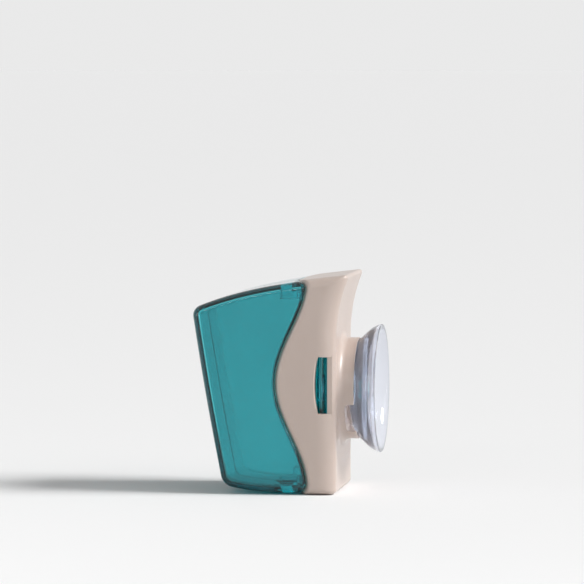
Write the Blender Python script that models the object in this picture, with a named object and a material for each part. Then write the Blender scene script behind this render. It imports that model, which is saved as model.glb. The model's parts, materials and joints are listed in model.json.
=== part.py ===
"""A wall-mounted toothbrush cover, in metres.

A moulded body hangs on a wall by a suction cup. Two clear doors swing on upright barrels inside the
body's side walls, and close over the head of a brush whose neck leaves through the floor. The origin is
the centre of the cup's rim on the wall: +Y points into the wall, +Z up, and the object mirrors about X = 0.
"""

import math

import bmesh
import bpy

MM = 0.001

# Outer form, as a side view in Y and Z that is drawn across the width
HALF_WIDTH = 15.5 * MM
REAR_Y = -9.1 * MM
BOTTOM_Z = -23.9 * MM
TOP_FRONT = (-43.3 * MM, 19.3 * MM)
TOP_REAR = (-6.0 * MM, 27.4 * MM)
TOP_FRONT_SLOPE = 0.44
TOP_REAR_SLOPE = 0.12
FRONT_BOTTOM = (-36.0 * MM, -22.2 * MM)
FRONT_CROWN = 0.3 * MM
BOTTOM_LIFT = 1.7 * MM
BOTTOM_LIFT_START_Y = -22.0 * MM
LIP_FLARE = 3.1 * MM
LIP_START_Z = 12.5 * MM
EDGE_ROUND = 2.2 * MM
LIP_EDGE_ROUND = 0.5 * MM
LIP_BLEND = 7.0 * MM
FOOT_EDGE_ROUND = 0.9 * MM
FOOT_BLEND = 4.0 * MM
FRONT_TOP_RADIUS = 2.5 * MM
FRONT_BOTTOM_RADIUS = 3.4 * MM
LIP_RADIUS = 0.7 * MM
FOOT_RADIUS = 1.2 * MM

# Walls and the gaps that moving and touching pieces keep
BODY_WALL = 2.0 * MM
DOOR_WALL = 1.5 * MM
DOOR_SINK = 0.25 * MM
INNER_RADIUS = 0.5 * MM
SEAM_GAP = 0.4 * MM
MEETING_GAP = 0.3 * MM
RUNNING_GAP = 0.3 * MM

# Wavy seam between the body and the doors
SEAM_END_Y = -15.3 * MM
SEAM_WAVE = 7.4 * MM
SEAM_WAVE_Z = 2.1 * MM
SEAM_WAVE_HALF = 24.6 * MM
SEAM_BOW = 3.6 * MM
SEAM_BOW_POWER = 4.3

# Hinges: an upright barrel on each door, with a pin at each end
BARREL_RADIUS = 1.4 * MM
AXIS_X = HALF_WIDTH - BODY_WALL - RUNNING_GAP - BARREL_RADIUS
AXIS_Y = REAR_Y - BODY_WALL - RUNNING_GAP - BARREL_RADIUS
PIN_RADIUS = 0.6 * MM
PIN_FIT = 0.1 * MM
PIN_IN_BARREL = 4.0 * MM
PIN_IN_ROOF = 1.6 * MM
PIN_IN_FLOOR = 1.0 * MM
HOLE_END_GAP = 0.25 * MM
BOSS_RADIUS = 1.75 * MM
ARM_THICK = 1.8 * MM
ARM_ROOF_GAP = 0.35 * MM
ARM_SPAN = 4.2 * MM
ARM_REACH = 9.5 * MM
ARM_SHOULDER = 0.45
ARM_ELBOW = (0.6, 0.2)
GUSSET_START = 6.6 * MM
WEB_RADIUS = 5.6 * MM
WEB_START = 0.36
EMBED = 0.45 * MM
DOOR_SWING_DEG = 40.0
SWING_GAP = 0.25 * MM

# Closing paddle that the back of the brush head pushes
PADDLE_LENGTH = 7.2 * MM
PADDLE_THICK = 1.4 * MM
PADDLE_TOP_Z = 14.0 * MM
PADDLE_FOOT_Z = -12.0 * MM

# Side windows, each with a shallow channel that runs on to the rear
SLOT_FRONT_Y = -13.3 * MM
SLOT_FRONT_BOW = 0.75 * MM
SLOT_REAR_Y = -11.1 * MM
SLOT_TOP_Z = 8.2 * MM
SLOT_FOOT_Z = -5.0 * MM
CHANNEL_DEPTH = 0.9 * MM

# Way out for the neck of the brush, cut half from the body and half from the doors
NECK_Y = -19.5 * MM
NECK_RADIUS = 5.5 * MM

# Suction cup, turned about Y, as (radius, y) down its dome from the rim to the stem
CUP_RADIUS = 15.05 * MM
CUP_RIM = 0.8 * MM
CUP_DOME = [
    (CUP_RADIUS, -0.4 * MM),
    (CUP_RADIUS - 0.45 * MM, -1.5 * MM),
    (CUP_RADIUS - 1.25 * MM, -2.8 * MM),
    (CUP_RADIUS - 2.95 * MM, -4.6 * MM),
    (CUP_RADIUS - 4.35 * MM, -5.8 * MM),
    (CUP_RADIUS - 5.85 * MM, -6.5 * MM),
    (CUP_RADIUS - 8.05 * MM, -7.0 * MM),
]
CUP_ROOT = (3.6 * MM, -7.6 * MM)
CUP_HOLLOW = 4.9 * MM
STEM_RADIUS = 2.6 * MM
STEM_FIT = 0.3 * MM
BULB_OVER = 0.5 * MM
BULB_RADIUS = STEM_RADIUS + STEM_FIT + BULB_OVER
BULB_LENGTH = 2.3 * MM

# Collar on the body that backs the cup, with a finger notch low on each side
COLLAR_RADIUS = 11.9 * MM
COLLAR_RIM = 0.5 * MM
COLLAR_GAP = 0.5 * MM
COLLAR_BORE = 8.9 * MM
COLLAR_FILLET = 1.0 * MM
NOTCH_WIDTH = 8.0 * MM
NOTCH_FLOOR_Y = -7.5 * MM
NOTCH_ANGLE_DEG = 35.0

# Mesh fineness
ARC_STEPS = 6
EDGE_STEPS = 4
TURN_STEPS = 56
STEM_STEPS = 32
NECK_STEPS = 40
BARREL_STEPS = 24
FRONT_POINTS = 12
TOP_POINTS = 20
REAR_POINTS = 20
BOTTOM_POINTS = 16
SEAM_ROWS = 44
SEAM_STATIONS = [0.0, 0.3, 0.5, 0.65, 0.77, 0.86, 0.93, 0.97, 1.0]
SLOT_POINTS = 8
WEB_POINTS = 5
SEAT_POINTS = 3
HOLLOW_POINTS = 5
MEETING_ROUNDS = 40
SHARP_EDGE_DEG = 35.0

# How far cutters run past what they cut
CUTTER_REACH = 4.0 * MM


def smooth_step(value):
    """Ease from 0 to 1."""
    value = min(max(value, 0.0), 1.0)
    return value * value * (3.0 - 2.0 * value)


def top_z(y):
    """Height of the top surface at a depth, a Hermite cubic from the front edge to the rear lip."""
    span = TOP_REAR[0] - TOP_FRONT[0]
    rise = TOP_REAR[1] - TOP_FRONT[1]
    u = (y - TOP_FRONT[0]) / span
    start = TOP_FRONT_SLOPE * span
    end = TOP_REAR_SLOPE * span
    return TOP_FRONT[1] + u * start + u * u * (3 * rise - 2 * start - end) + u ** 3 * (start + end - 2 * rise)


def bottom_z(y):
    """Height of the underside, flat at the rear and lifting toward the front."""
    u = max(0.0, (BOTTOM_LIFT_START_Y - y) / (BOTTOM_LIFT_START_Y - FRONT_BOTTOM[0]))
    return BOTTOM_Z + BOTTOM_LIFT * u * u


def front_y(z):
    """Depth of the front surface, which leans and is slightly crowned."""
    v = (z - FRONT_BOTTOM[1]) / (TOP_FRONT[1] - FRONT_BOTTOM[1])
    lean = FRONT_BOTTOM[0] + (TOP_FRONT[0] - FRONT_BOTTOM[0]) * v
    return lean - FRONT_CROWN * math.sin(math.pi * min(max(v, 0.0), 1.0))


def rear_y(z, flare):
    """Depth of the rear surface, with or without the lip that sweeps back at the top."""
    u = max(0.0, (z - LIP_START_Z) / (TOP_REAR[1] - LIP_START_Z))
    return REAR_Y + (flare * u * u)


def meet(edge_y, edge_z, guess):
    """Corner where a surface given as y(z) meets one given as z(y)."""
    y, z = guess
    for _ in range(MEETING_ROUNDS):
        y = edge_y(z)
        z = edge_z(y)
    return y, z


def fillet(before, corner, after, radius, steps):
    """Points of an arc that rounds a corner between two neighbouring points."""
    ay, az = before[0] - corner[0], before[1] - corner[1]
    by, bz = after[0] - corner[0], after[1] - corner[1]
    al, bl = math.hypot(ay, az), math.hypot(by, bz)
    ay, az, by, bz = ay / al, az / al, by / bl, bz / bl
    half = math.acos(max(-1.0, min(1.0, ay * by + az * bz))) / 2.0
    reach = radius / math.tan(half)
    my, mz = ay + by, az + bz
    ml = math.hypot(my, mz)
    centre = (corner[0] + my / ml * radius / math.sin(half), corner[1] + mz / ml * radius / math.sin(half))
    first = (corner[0] + ay * reach, corner[1] + az * reach)
    last = (corner[0] + by * reach, corner[1] + bz * reach)
    start = math.atan2(first[1] - centre[1], first[0] - centre[0])
    sweep = math.atan2(last[1] - centre[1], last[0] - centre[0]) - start
    sweep = (sweep + math.pi) % (2 * math.pi) - math.pi
    arc = []
    for i in range(steps + 1):
        angle = start + sweep * i / steps
        arc.append((centre[0] + radius * math.cos(angle), centre[1] + radius * math.sin(angle)))
    return arc, reach


def side_outline(inset, flare, radii):
    """Side view as a closed list of (y, z), from the front bottom corner round by the front and the top.

    radii are the four corner radii: front bottom, front top, rear top and rear bottom.
    """
    def front(z):
        return front_y(z) + inset

    def rear(z):
        return rear_y(z, flare) - inset

    def top(y):
        return top_z(y) - inset

    def bottom(y):
        return bottom_z(y) + inset

    front_bottom = meet(front, bottom, FRONT_BOTTOM)
    front_top = meet(front, top, TOP_FRONT)
    rear_top = meet(rear, top, TOP_REAR)
    rear_bottom = meet(rear, bottom, (REAR_Y, BOTTOM_Z))

    def between(a, b, count, axis, curve):
        points = []
        for i in range(1, count):
            t = a[axis] + (b[axis] - a[axis]) * i / count
            points.append((curve(t), t) if axis else (t, curve(t)))
        return points

    runs = [
        between(front_bottom, front_top, FRONT_POINTS, 1, front),
        between(front_top, rear_top, TOP_POINTS, 0, top),
        between(rear_top, rear_bottom, REAR_POINTS, 1, rear),
        between(rear_bottom, front_bottom, BOTTOM_POINTS, 0, bottom),
    ]
    corners = [front_bottom, front_top, rear_top, rear_bottom]
    trims = []
    arcs = []
    for i, corner in enumerate(corners):
        arc, reach = fillet(runs[i - 1][-1], corner, runs[i][0], radii[i], ARC_STEPS)
        arcs.append(arc)
        trims.append(reach)
    points = []
    for i, run in enumerate(runs):
        points += arcs[i]
        here, there = corners[i], corners[(i + 1) % 4]
        for point in run:
            clear_here = math.dist(point, here) > trims[i] + EMBED
            clear_there = math.dist(point, there) > trims[(i + 1) % 4] + EMBED
            if clear_here and clear_there:
                points.append(point)
    return points


def outward_normals(points):
    """Unit normals that point out of a closed outline, one for each of its points."""
    area = 0.0
    for i, point in enumerate(points):
        ahead = points[(i + 1) % len(points)]
        area += point[0] * ahead[1] - ahead[0] * point[1]
    side = 1.0 if area > 0 else -1.0
    normals = []
    for i in range(len(points)):
        back, ahead = points[i - 1], points[(i + 1) % len(points)]
        ty, tz = ahead[0] - back[0], ahead[1] - back[1]
        length = math.hypot(ty, tz)
        normals.append((side * tz / length, -side * ty / length))
    return normals


def edge_radius(point):
    """Rounding of the edge along the two sides, smaller at the thin lip and at the foot."""
    lip = smooth_step(math.dist(point, TOP_REAR) / LIP_BLEND)
    foot = smooth_step(math.dist(point, (REAR_Y, BOTTOM_Z)) / FOOT_BLEND)
    at_lip = LIP_EDGE_ROUND + (EDGE_ROUND - LIP_EDGE_ROUND) * lip
    at_foot = FOOT_EDGE_ROUND + (EDGE_ROUND - FOOT_EDGE_ROUND) * foot
    return min(at_lip, at_foot)


def drawn_solid(name, points, half_width, radius_at):
    """A solid of one side view drawn across X, with its two side edges rounded."""
    normals = outward_normals(points)
    stations = []
    for i in range(EDGE_STEPS + 1):
        angle = math.pi / 2 * i / EDGE_STEPS
        stations.append((1.0 - math.sin(angle), math.cos(angle)))
    mesh = bmesh.new()
    rings = []
    for side in (-1, 1):
        steps = stations if side > 0 else list(reversed(stations))
        for inward, share in steps:
            ring = []
            for point, normal in zip(points, normals):
                radius = radius_at(point)
                drop = radius * (1.0 - share)
                x = side * (half_width - radius * inward)
                ring.append(mesh.verts.new((x, point[0] - normal[0] * drop, point[1] - normal[1] * drop)))
            rings.append(ring)
    count = len(points)
    for near, far in zip(rings, rings[1:]):
        for i in range(count):
            j = (i + 1) % count
            mesh.faces.new((near[i], near[j], far[j], far[i]))
    mesh.faces.new(rings[0])
    mesh.faces.new(list(reversed(rings[-1])))
    return finish_mesh(mesh, name)


def finish_mesh(mesh, name):
    """Turn a bmesh into an object in the scene, with its faces pointing out."""
    bmesh.ops.recalc_face_normals(mesh, faces=mesh.faces)
    data = bpy.data.meshes.new(name)
    mesh.to_mesh(data)
    mesh.free()
    item = bpy.data.objects.new(name, data)
    bpy.context.scene.collection.objects.link(item)
    return item


def prism(name, outline, low, high):
    """Upright solid of a plan outline in X and Y between two heights."""
    mesh = bmesh.new()
    floor = [mesh.verts.new((x, y, low)) for x, y in outline]
    roof = [mesh.verts.new((x, y, high)) for x, y in outline]
    count = len(outline)
    for i in range(count):
        j = (i + 1) % count
        mesh.faces.new((floor[i], floor[j], roof[j], roof[i]))
    mesh.faces.new(list(reversed(floor)))
    mesh.faces.new(roof)
    return finish_mesh(mesh, name)


def side_prism(name, outline, low, high):
    """Solid of a side outline in Y and Z between two places across the width."""
    mesh = bmesh.new()
    near = [mesh.verts.new((low, y, z)) for y, z in outline]
    far = [mesh.verts.new((high, y, z)) for y, z in outline]
    count = len(outline)
    for i in range(count):
        j = (i + 1) % count
        mesh.faces.new((near[i], near[j], far[j], far[i]))
    mesh.faces.new(list(reversed(near)))
    mesh.faces.new(far)
    return finish_mesh(mesh, name)


def depth_prism(name, outline, low, high):
    """Solid of a rear view in X and Z between two depths."""
    mesh = bmesh.new()
    front = [mesh.verts.new((x, low, z)) for x, z in outline]
    back = [mesh.verts.new((x, high, z)) for x, z in outline]
    count = len(outline)
    for i in range(count):
        j = (i + 1) % count
        mesh.faces.new((front[i], front[j], back[j], back[i]))
    mesh.faces.new(list(reversed(front)))
    mesh.faces.new(back)
    return finish_mesh(mesh, name)


def circle(x, y, radius, steps=BARREL_STEPS):
    """Plan outline of a circle."""
    points = []
    for i in range(steps):
        angle = 2 * math.pi * i / steps
        points.append((x + radius * math.cos(angle), y + radius * math.sin(angle)))
    return points


def turned(name, profile, steps=TURN_STEPS):
    """Solid turned about the Y axis from (radius, y) points, whose ends may lie on the axis."""
    mesh = bmesh.new()
    rings = []
    for radius, y in profile:
        if radius < EMBED / 100:
            rings.append([mesh.verts.new((0.0, y, 0.0))])
            continue
        ring = []
        for i in range(steps):
            angle = 2 * math.pi * i / steps
            ring.append(mesh.verts.new((radius * math.cos(angle), y, radius * math.sin(angle))))
        rings.append(ring)
    pairs = list(zip(rings, rings[1:]))
    if len(rings[0]) > 1:
        pairs.append((rings[-1], rings[0]))
    for near, far in pairs:
        for i in range(steps):
            j = (i + 1) % steps
            corners = [near[i % len(near)], near[j % len(near)], far[j % len(far)], far[i % len(far)]]
            mesh.faces.new(list(dict.fromkeys(corners)))
    return finish_mesh(mesh, name)


def combine(target, tool, operation):
    """Apply one Boolean to the target and remove the tool."""
    step = target.modifiers.new(operation.lower(), "BOOLEAN")
    step.operation = operation
    step.solver = "EXACT"
    step.object = tool
    bpy.context.view_layer.update()
    evaluated = target.evaluated_get(bpy.context.evaluated_depsgraph_get())
    result = bpy.data.meshes.new_from_object(evaluated)
    old = target.data
    target.modifiers.clear()
    target.data = result
    result.name = target.name
    bpy.data.meshes.remove(old)
    bpy.data.objects.remove(tool)
    return target


def mirrored(item, name):
    """A copy of an object on the other side of X = 0."""
    mesh = bmesh.new()
    mesh.from_mesh(item.data)
    for vertex in mesh.verts:
        vertex.co.x = -vertex.co.x
    bmesh.ops.reverse_faces(mesh, faces=mesh.faces)
    return finish_mesh(mesh, name)


def seam_y(x, z):
    """Depth of the seam: a wave down each side, bowed forward across the top and the floor."""
    turn = min(abs(z - SEAM_WAVE_Z) / SEAM_WAVE_HALF, 1.0)
    wave = (1.0 + math.cos(math.pi * turn)) / 2.0
    bow = 1.0 - min(abs(x) / HALF_WIDTH, 1.0) ** SEAM_BOW_POWER
    return SEAM_END_Y - SEAM_WAVE * wave - SEAM_BOW * bow


def seam_block(offset):
    """Everything in front of the seam, moved along Y by an offset."""
    far_y = TOP_FRONT[0] - CUTTER_REACH
    half = [HALF_WIDTH * share for share in SEAM_STATIONS] + [HALF_WIDTH + CUTTER_REACH]
    xs = [-x for x in reversed(half[1:])] + half
    low = BOTTOM_Z - CUTTER_REACH
    high = TOP_REAR[1] + CUTTER_REACH
    rows = SEAM_ROWS
    zs = [low + (high - low) * i / rows for i in range(rows + 1)]
    mesh = bmesh.new()
    back = [[mesh.verts.new((x, seam_y(x, z) + offset, z)) for x in xs] for z in zs]
    front = [[mesh.verts.new((x, far_y, z)) for x in xs] for z in zs]
    for i in range(rows):
        for j in range(len(xs) - 1):
            mesh.faces.new((back[i][j], back[i][j + 1], back[i + 1][j + 1], back[i + 1][j]))
            mesh.faces.new((front[i][j], front[i + 1][j], front[i + 1][j + 1], front[i][j + 1]))
        for j in (0, len(xs) - 1):
            mesh.faces.new((back[i][j], back[i + 1][j], front[i + 1][j], front[i][j]))
    for i in (0, rows):
        for j in range(len(xs) - 1):
            mesh.faces.new((back[i][j], front[i][j], front[i][j + 1], back[i][j + 1]))
    return finish_mesh(mesh, "seam_block")


def cavity(wall, sink):
    """The hollow inside a shell of a given wall."""
    radii = (FRONT_BOTTOM_RADIUS - wall, INNER_RADIUS, INNER_RADIUS, INNER_RADIUS)
    points = side_outline(wall + sink, 0.0, radii)
    return drawn_solid("cavity", points, HALF_WIDTH - wall, lambda point: INNER_RADIUS)


def outer_form(sink, flare):
    """The closed outer form of the whole cover."""
    radii = (FRONT_BOTTOM_RADIUS, FRONT_TOP_RADIUS, LIP_RADIUS, FOOT_RADIUS)
    points = side_outline(sink, flare, radii)
    return drawn_solid("outer_form", points, HALF_WIDTH, edge_radius)


def arm_levels():
    """Heights of the upper and the lower hinge arm, each as (low, high)."""
    roof = top_z(SEAM_END_Y - SEAM_BOW) - BODY_WALL
    floor = BOTTOM_Z + BODY_WALL
    upper = (roof - ARM_ROOF_GAP - ARM_THICK, roof - ARM_ROOF_GAP)
    lower = (floor + RUNNING_GAP, floor + RUNNING_GAP + ARM_THICK)
    return upper, lower


def pin_heights():
    """The four heights of a pair of pins: upper pin (low, high) and lower pin (low, high)."""
    upper, lower = arm_levels()
    upper_pin = (upper[1] - PIN_IN_BARREL, upper[1] + RUNNING_GAP + PIN_IN_ROOF)
    lower_pin = (lower[0] - RUNNING_GAP - PIN_IN_FLOOR, lower[0] + PIN_IN_BARREL)
    return upper_pin, lower_pin


def neck_cutter():
    """Upright cylinder that opens the floor for the neck of a brush."""
    plan = circle(0.0, NECK_Y, NECK_RADIUS, NECK_STEPS)
    return prism("neck", plan, BOTTOM_Z - CUTTER_REACH, BOTTOM_Z + CUTTER_REACH)


def slot_outline():
    """Side window, straight at the rear and bowed at the front."""
    middle = (SLOT_TOP_Z + SLOT_FOOT_Z) / 2
    half = (SLOT_TOP_Z - SLOT_FOOT_Z) / 2
    points = [(SLOT_REAR_Y, SLOT_FOOT_Z), (SLOT_REAR_Y, SLOT_TOP_Z)]
    for i in range(SLOT_POINTS + 1):
        z = SLOT_TOP_Z + (SLOT_FOOT_Z - SLOT_TOP_Z) * i / SLOT_POINTS
        bow = 1.0 - ((z - middle) / half) ** 2
        points.append((SLOT_FRONT_Y - SLOT_FRONT_BOW * bow, z))
    return points


def dome_y(radius):
    """Depth of the cup's dome at a radius."""
    for outer, inner in zip(CUP_DOME, CUP_DOME[1:]):
        if inner[0] <= radius <= outer[0]:
            share = (outer[0] - radius) / (outer[0] - inner[0])
            return outer[1] + (inner[1] - outer[1]) * share
    return CUP_DOME[-1][1]


def make_collar():
    """Ring behind the cup, hollowed to the shape of the dome and notched for two fingers."""
    rim_y = dome_y(COLLAR_RADIUS) - COLLAR_GAP
    profile = [
        (COLLAR_RADIUS + COLLAR_FILLET, REAR_Y - EMBED),
        (COLLAR_RADIUS + COLLAR_FILLET, REAR_Y),
        (COLLAR_RADIUS + COLLAR_FILLET * 0.3, REAR_Y + COLLAR_FILLET * 0.3),
        (COLLAR_RADIUS, REAR_Y + COLLAR_FILLET),
        (COLLAR_RADIUS, rim_y - COLLAR_RIM * 0.3),
        (COLLAR_RADIUS - COLLAR_RIM * 0.3, rim_y),
    ]
    inner_rim = COLLAR_RADIUS - COLLAR_RIM
    for i in range(SEAT_POINTS + 1):
        radius = inner_rim + (COLLAR_BORE - inner_rim) * i / SEAT_POINTS
        profile.append((radius, dome_y(radius) - COLLAR_GAP))
    profile.append((COLLAR_BORE, REAR_Y - EMBED))
    collar = turned("collar", profile)
    for side in (-1, 1):
        angle = -math.radians(NOTCH_ANGLE_DEG)
        along = (side * math.cos(angle), math.sin(angle))
        across = (-along[1], along[0])
        outline = []
        for far, wide in ((1.3, -0.5), (1.3, 0.5), (0.7, 0.5), (0.7, -0.5)):
            x = along[0] * far * COLLAR_RADIUS + across[0] * wide * NOTCH_WIDTH
            z = along[1] * far * COLLAR_RADIUS + across[1] * wide * NOTCH_WIDTH
            outline.append((x, z))
        collar = combine(collar, depth_prism("notch", outline, NOTCH_FLOOR_Y, 0.0), "DIFFERENCE")
    return collar


def make_body():
    """The moulded body: rear shell, seam edge, side windows, hinge bosses and the cup's collar."""
    body = combine(outer_form(0.0, LIP_FLARE), cavity(BODY_WALL, 0.0), "DIFFERENCE")
    body = combine(body, seam_block(SEAM_GAP / 2), "DIFFERENCE")
    body = combine(body, make_collar(), "UNION")
    upper, lower = arm_levels()
    for side in (-1, 1):
        boss_top = top_z(AXIS_Y) - BODY_WALL + EMBED
        boss = prism("boss", circle(side * AXIS_X, AXIS_Y, BOSS_RADIUS), upper[1] + RUNNING_GAP, boss_top)
        body = combine(body, boss, "UNION")
    for side in (-1, 1):
        outer = side * (HALF_WIDTH + BODY_WALL)
        inner = side * (HALF_WIDTH - BODY_WALL - EMBED)
        window = side_prism("slot", slot_outline(), min(outer, inner), max(outer, inner))
        body = combine(body, window, "DIFFERENCE")
        floor = side * (HALF_WIDTH - CHANNEL_DEPTH)
        run = [
            (SLOT_REAR_Y - EMBED, SLOT_FOOT_Z),
            (SLOT_REAR_Y - EMBED, SLOT_TOP_Z),
            (REAR_Y + BODY_WALL, SLOT_TOP_Z),
            (REAR_Y + BODY_WALL, SLOT_FOOT_Z),
        ]
        body = combine(body, side_prism("channel", run, min(outer, floor), max(outer, floor)), "DIFFERENCE")
        upper_pin, lower_pin = pin_heights()
        in_roof = (upper_pin[0], upper_pin[1] + HOLE_END_GAP)
        in_floor = (lower_pin[0] - HOLE_END_GAP, lower_pin[1])
        for low, high in (in_roof, in_floor):
            hole = prism("hole", circle(side * AXIS_X, AXIS_Y, PIN_RADIUS + PIN_FIT), low, high)
            body = combine(body, hole, "DIFFERENCE")
    stem = turned("stem", [
        (0.0, REAR_Y - BODY_WALL - EMBED),
        (STEM_RADIUS + STEM_FIT, REAR_Y - BODY_WALL - EMBED),
        (STEM_RADIUS + STEM_FIT, REAR_Y + EMBED),
        (0.0, REAR_Y + EMBED),
    ], STEM_STEPS)
    body = combine(body, stem, "DIFFERENCE")
    body = combine(body, neck_cutter(), "DIFFERENCE")
    body.name = "body"
    return body


def swing_limit(radius):
    """Point at a radius from the axis that just clears the body's side wall when the door is fully open."""
    wall = HALF_WIDTH - BODY_WALL - AXIS_X - SWING_GAP
    angle = math.asin(min(1.0, wall / radius)) - math.radians(DOOR_SWING_DEG)
    return AXIS_X + radius * math.sin(angle), AXIS_Y - radius * math.cos(angle)


def arm_outline():
    """Plan of a hinge arm: from the barrel, round the body's wall, to the inside of the door."""
    wall_inside = HALF_WIDTH - DOOR_WALL + EMBED
    points = [(AXIS_X + BARREL_RADIUS * 0.6, AXIS_Y - BARREL_RADIUS * 0.5)]
    for i in range(WEB_POINTS):
        share = WEB_START + (1.0 - WEB_START) * i / (WEB_POINTS - 1)
        points.append(swing_limit(WEB_RADIUS * share))
    start = math.atan2(points[-1][1] - AXIS_Y, points[-1][0] - AXIS_X)
    end = -math.acos((wall_inside - AXIS_X) / WEB_RADIUS)
    for i in range(1, WEB_POINTS + 1):
        angle = start + (end - start) * i / WEB_POINTS
        points.append((AXIS_X + WEB_RADIUS * math.cos(angle), AXIS_Y + WEB_RADIUS * math.sin(angle)))
    points += [
        (wall_inside, AXIS_Y - ARM_REACH),
        (AXIS_X - ARM_SPAN, AXIS_Y - ARM_REACH),
        (AXIS_X - ARM_SPAN, AXIS_Y - ARM_SHOULDER * ARM_REACH),
        (AXIS_X - ARM_ELBOW[0] * ARM_SPAN, AXIS_Y - ARM_ELBOW[1] * ARM_REACH),
        (AXIS_X - BARREL_RADIUS * 0.95, AXIS_Y),
    ]
    return points


def make_right_door():
    """The door on the +X side: half shell, two hinge arms, barrel and closing paddle, in one moulding."""
    door = combine(outer_form(DOOR_SINK, 0.0), cavity(DOOR_WALL, DOOR_SINK), "DIFFERENCE")
    door = combine(door, seam_block(-SEAM_GAP / 2), "INTERSECT")
    half = [
        (MEETING_GAP / 2, TOP_FRONT[0] - CUTTER_REACH),
        (HALF_WIDTH + CUTTER_REACH, TOP_FRONT[0] - CUTTER_REACH),
        (HALF_WIDTH + CUTTER_REACH, 0.0),
        (MEETING_GAP / 2, 0.0),
    ]
    door = combine(door, prism("half", half, BOTTOM_Z - CUTTER_REACH, TOP_REAR[1] + CUTTER_REACH), "INTERSECT")
    door = combine(door, neck_cutter(), "DIFFERENCE")
    upper, lower = arm_levels()
    hinge = prism("hinge", circle(AXIS_X, AXIS_Y, BARREL_RADIUS), lower[0], upper[1])
    for low, high in (upper, lower):
        hinge = combine(hinge, prism("arm", arm_outline(), low, high), "UNION")
    wall_inside = HALF_WIDTH - DOOR_WALL + EMBED
    gusset = [
        (AXIS_X - ARM_SPAN, AXIS_Y - ARM_REACH),
        (wall_inside, AXIS_Y - ARM_REACH),
        (wall_inside, AXIS_Y - GUSSET_START),
        (AXIS_X - ARM_SPAN, AXIS_Y - GUSSET_START),
    ]
    roof = top_z(AXIS_Y - ARM_REACH) - DOOR_SINK - DOOR_WALL + EMBED
    floor = bottom_z(AXIS_Y - ARM_REACH) + DOOR_SINK + DOOR_WALL - EMBED
    hinge = combine(hinge, prism("gusset", gusset, upper[0] + EMBED, roof), "UNION")
    hinge = combine(hinge, prism("gusset", gusset, floor, lower[1] - EMBED), "UNION")
    paddle = [
        (AXIS_X, AXIS_Y - PADDLE_THICK / 2),
        (AXIS_X, AXIS_Y + PADDLE_THICK / 2),
        (AXIS_X - PADDLE_LENGTH, AXIS_Y + PADDLE_THICK / 2),
        (AXIS_X - PADDLE_LENGTH, AXIS_Y - PADDLE_THICK / 2),
    ]
    hinge = combine(hinge, prism("paddle", paddle, PADDLE_FOOT_Z, PADDLE_TOP_Z), "UNION")
    door = combine(door, hinge, "UNION")
    upper_pin, lower_pin = pin_heights()
    from_above = (upper_pin[0] - HOLE_END_GAP, upper_pin[1])
    from_below = (lower_pin[0], lower_pin[1] + HOLE_END_GAP)
    for low, high in (from_above, from_below):
        hole = prism("hole", circle(AXIS_X, AXIS_Y, PIN_RADIUS + PIN_FIT), low, high)
        door = combine(door, hole, "DIFFERENCE")
    door.name = "right_door"
    return door


def make_cup():
    """The suction cup: a soft dome with a stem through the body's rear wall and a bulb inside."""
    inside = REAR_Y - BODY_WALL
    rim = CUP_RADIUS - CUP_RIM
    profile = [
        (0.0, inside - RUNNING_GAP - BULB_LENGTH),
        (BULB_RADIUS * 0.55, inside - RUNNING_GAP - BULB_LENGTH * 0.93),
        (BULB_RADIUS * 0.88, inside - RUNNING_GAP - BULB_LENGTH * 0.62),
        (BULB_RADIUS, inside - RUNNING_GAP - BULB_LENGTH * 0.2),
        (BULB_RADIUS, inside - RUNNING_GAP),
        (STEM_RADIUS, inside - RUNNING_GAP),
        (STEM_RADIUS, CUP_ROOT[1] - STEM_FIT),
        CUP_ROOT,
    ]
    profile += reversed(CUP_DOME)
    profile += [(CUP_RADIUS, 0.0), (rim, 0.0)]
    for i in range(1, HOLLOW_POINTS):
        angle = math.pi / 2 * i / HOLLOW_POINTS
        profile.append((rim * math.cos(angle), -CUP_HOLLOW * math.sin(angle)))
    profile.append((0.0, -CUP_HOLLOW))
    cup = turned("suction_cup", profile)
    return cup


def make_pin(name, side, low, high):
    """One hinge pin between two heights."""
    return prism(name, circle(side * AXIS_X, AXIS_Y, PIN_RADIUS), low, high)


def finish(item, colour, roughness, metallic, transmission=0.0):
    """Give an object its own material and smooth its round faces."""
    material = bpy.data.materials.new(item.name + "_finish")
    material.use_nodes = True
    shader = material.node_tree.nodes["Principled BSDF"]
    shader.inputs["Base Color"].default_value = (*colour, 1.0)
    shader.inputs["Roughness"].default_value = roughness
    shader.inputs["Metallic"].default_value = metallic
    shader.inputs["Transmission Weight"].default_value = transmission
    item.data.materials.clear()
    item.data.materials.append(material)
    item.data.shade_smooth()
    item.data.set_sharp_from_angle(angle=math.radians(SHARP_EDGE_DEG))


def set_origin(item, x, y):
    """Move an object's origin onto an upright axis without moving its shape."""
    for vertex in item.data.vertices:
        vertex.co.x -= x
        vertex.co.y -= y
    item.location = (x, y, 0.0)


def main():
    """Clear the scene and build every piece."""
    for old in list(bpy.data.objects):
        bpy.data.objects.remove(old)
    body = make_body()
    finish(body, (0.78, 0.68, 0.60), 0.35, 0.0)
    right_door = make_right_door()
    left_door = mirrored(right_door, "left_door")
    for door, side in ((right_door, 1), (left_door, -1)):
        set_origin(door, side * AXIS_X, AXIS_Y)
        finish(door, (0.02, 0.42, 0.44), 0.12, 0.0, 0.8)
    finish(make_cup(), (0.80, 0.82, 0.88), 0.15, 0.0, 0.9)
    upper_pin, lower_pin = pin_heights()
    for side, hand in ((1, "right"), (-1, "left")):
        for level, (low, high) in (("upper", upper_pin), ("lower", lower_pin)):
            pin = make_pin(level + "_" + hand + "_pin", side, low, high)
            finish(pin, (0.62, 0.62, 0.60), 0.25, 1.0)


main()
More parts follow.
